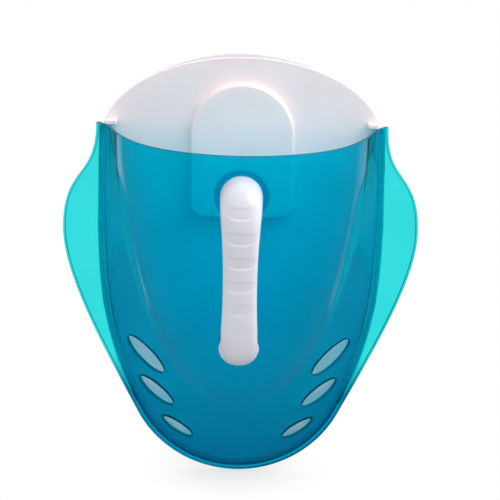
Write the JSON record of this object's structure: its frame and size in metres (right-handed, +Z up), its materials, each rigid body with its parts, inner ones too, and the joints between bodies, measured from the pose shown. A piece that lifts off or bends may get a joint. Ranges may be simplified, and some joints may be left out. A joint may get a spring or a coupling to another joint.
{
  "type": "bath toy organizer",
  "caption": "Wall-hung bath toy scoop: tinted draining shell with side fins, white back panel with a keyhole pocket, bow handle and stick-on wall bracket.",
  "frame": {"origin": "on the wall, behind the middle of the centre adhesive pad", "axes": "+Z up, +Y into the wall, so the handle faces -Y and the mouth opens upwards"},
  "size_m": [0.3176, 0.1903, 0.3873],
  "materials": {
    "tinted_shell": "see-through teal blue polypropylene, gloss moulded",
    "white_plastic": "white polypropylene, satin moulded",
    "screw_steel": "stainless steel",
    "pad_foam": "closed-cell adhesive foam, matt"
  },
  "bodies": {
    "hanger": {"wall_bracket": "white_plastic", "adhesive_pad_left": "pad_foam", "adhesive_pad_centre": "pad_foam", "adhesive_pad_right": "pad_foam"},
    "scoop": {"scoop_shell": "tinted_shell", "back_panel": "white_plastic", "handle_front": "white_plastic", "handle_back": "white_plastic", "upper_handle_screw": "screw_steel", "lower_handle_screw": "screw_steel"}
  },
  "joints": [
    {"name": "scoop_lift", "type": "slide", "parent": "hanger", "child": "scoop", "axis": [0, 0, 1], "range_m": [0, 0.05]}
  ]
}
